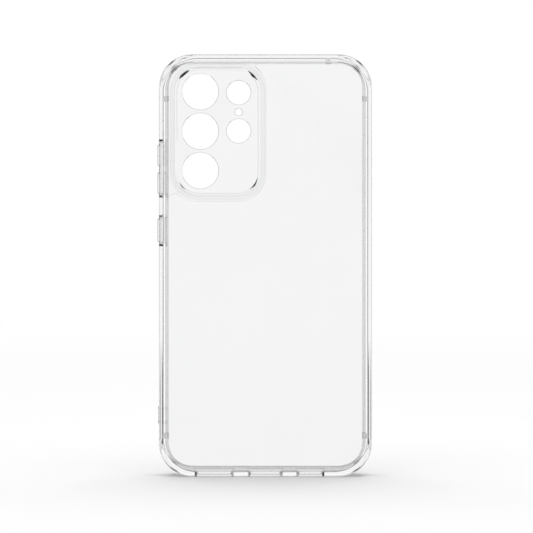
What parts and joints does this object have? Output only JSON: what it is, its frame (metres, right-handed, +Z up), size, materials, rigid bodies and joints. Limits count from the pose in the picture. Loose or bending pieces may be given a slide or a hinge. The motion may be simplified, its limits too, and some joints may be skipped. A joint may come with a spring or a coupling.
{
  "type": "phone case",
  "caption": "Clear hybrid phone case: hard back plate in a soft bumper frame with a raised camera ridge, lens openings, side push buttons and port openings.",
  "frame": {"origin": "centre of the phone seat, the inner face of the back plate", "axes": "+Z up the case towards the camera openings, +Y out of the open screen side, +X to the right when the outside of the back is faced"},
  "size_m": [0.0852, 0.0124, 0.1672],
  "materials": {
    "hard_clear": "clear, polished hard plastic",
    "soft_clear": "clear, glossy soft elastomer",
    "button_clear": "clear, lightly satin plastic"
  },
  "bodies": {
    "case": {"back_plate": "hard_clear", "bumper_frame": "soft_clear", "lens_plate": "hard_clear", "volume_button_carrier": "button_clear", "power_button_carrier": "button_clear"},
    "volume_up": {"volume_up_button": "button_clear"},
    "volume_down": {"volume_down_button": "button_clear"},
    "power": {"power_button": "button_clear"}
  },
  "joints": [
    {"name": "volume_up_press", "type": "slide", "parent": "case", "child": "volume_up", "axis": [1, 0, 0], "range_m": [0, 0.00035], "stiffness_N_per_m": 800},
    {"name": "volume_down_press", "type": "slide", "parent": "case", "child": "volume_down", "axis": [1, 0, 0], "range_m": [0, 0.00035], "stiffness_N_per_m": 800},
    {"name": "power_press", "type": "slide", "parent": "case", "child": "power", "axis": [1, 0, 0], "range_m": [0, 0.00035], "stiffness_N_per_m": 800}
  ]
}
